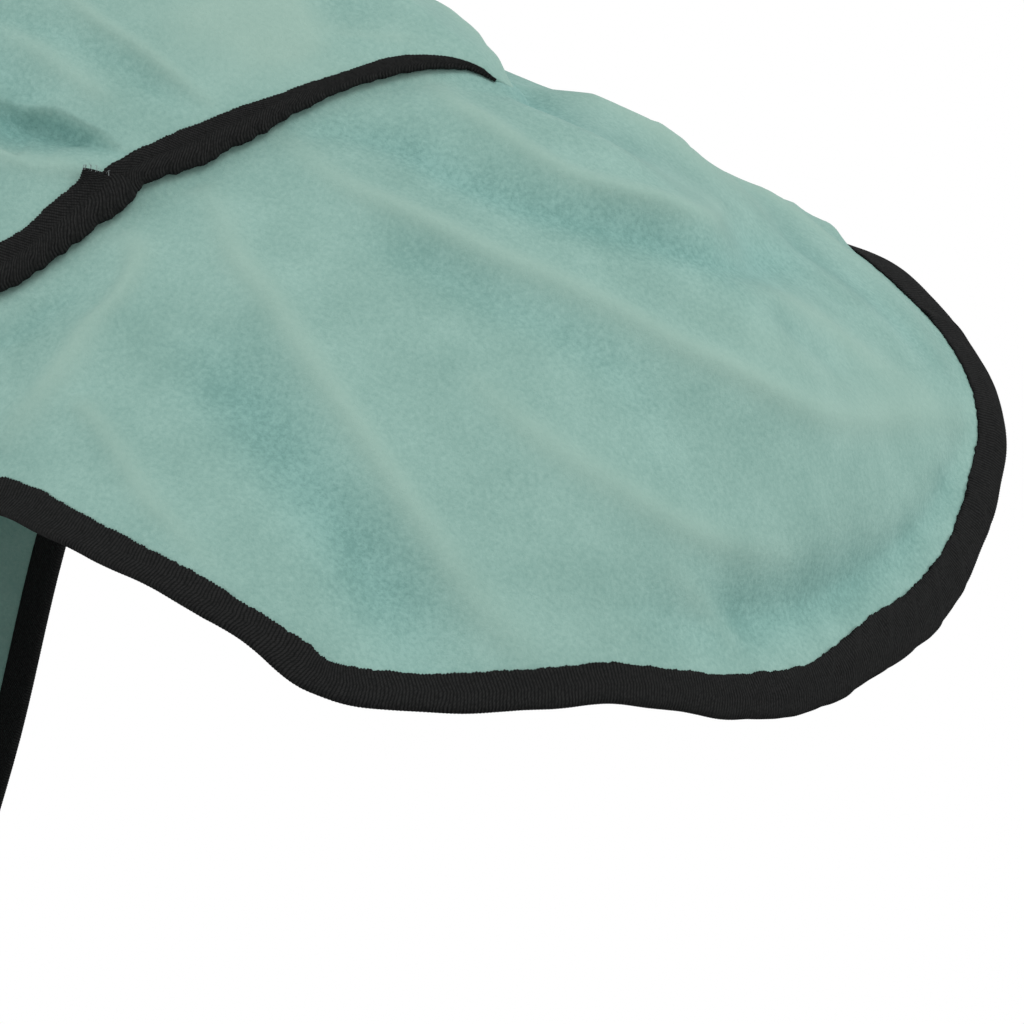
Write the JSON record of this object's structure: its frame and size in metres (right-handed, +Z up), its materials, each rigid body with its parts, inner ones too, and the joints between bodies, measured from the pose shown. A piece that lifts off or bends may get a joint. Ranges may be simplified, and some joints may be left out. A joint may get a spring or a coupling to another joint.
{
  "type": "horse blanket",
  "caption": "Fleece horse rug in its worn shape, with a closed chest and a sewn-on tail flap, bound all round with folded tape.",
  "frame": {"origin": "inner face of the cloth over the middle of the back, on the spine line, where the wearer's back carries the rug", "axes": "+X towards the tail, +Y to the wearer's right side, +Z up"},
  "size_m": [1.8812, 0.6282, 0.8562],
  "materials": {
    "fleece": "brushed polyester fleece in muted mint green, short soft nap, matt with a faint sheen at grazing angles",
    "binding": "black ribbed polyester binding tape, matt",
    "webbing": "black woven webbing, matt"
  },
  "bodies": {
    "root": {"body": "fleece", "tail_flap": "fleece", "neck_binding": "binding", "front_binding_left": "binding", "front_binding_right": "binding", "hem_binding_left": "binding", "hem_binding_right": "binding", "rear_binding_right": "binding", "rear_binding_left_upper": "binding", "rear_binding_left_lower": "binding", "tail_flap_binding": "binding", "chest_tab_upper": "webbing", "chest_tab_lower": "webbing"}
  },
  "joints": []
}
